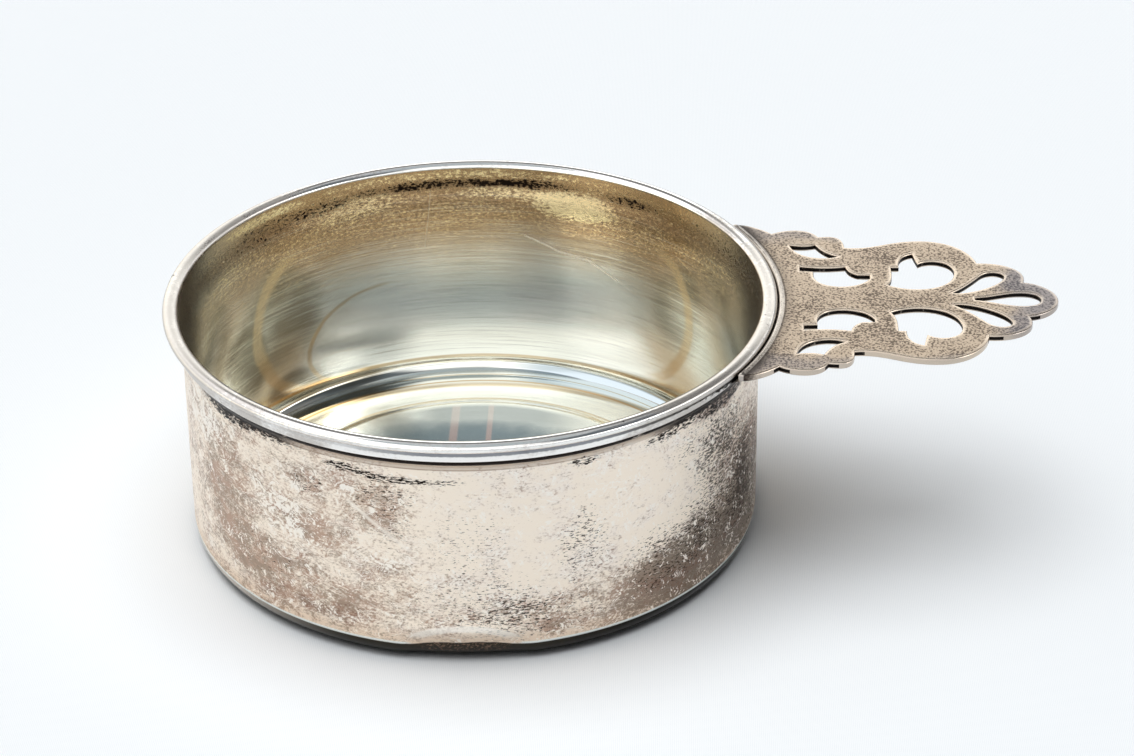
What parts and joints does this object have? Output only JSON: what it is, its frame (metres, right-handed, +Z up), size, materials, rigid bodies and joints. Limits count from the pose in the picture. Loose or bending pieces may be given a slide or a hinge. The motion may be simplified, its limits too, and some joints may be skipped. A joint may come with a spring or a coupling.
{
  "type": "porringer",
  "caption": "Shallow straight-walled silver bowl with a beaded rim and one flat, pierced, lobed handle, for eating or serving.",
  "frame": {"origin": "middle of the bounding box, on the surface that the porringer stands on", "axes": "+X towards the tip of the handle, +Z up out of the bowl"},
  "size_m": [0.1526, 0.1048, 0.0432],
  "materials": {
    "bowl_silver": "satin silver with tarnish and fine scratches",
    "rim_silver": "polished silver with small nicks",
    "handle_silver": "pitted silver with dark mottled tarnish and bright worn edges",
    "solder": "dull grey silver solder"
  },
  "bodies": {
    "root": {"bowl_body": "bowl_silver", "rim_bead": "rim_silver", "rim_fillet": "rim_silver", "handle_plate": "handle_silver", "handle_solder": "solder"}
  },
  "joints": []
}
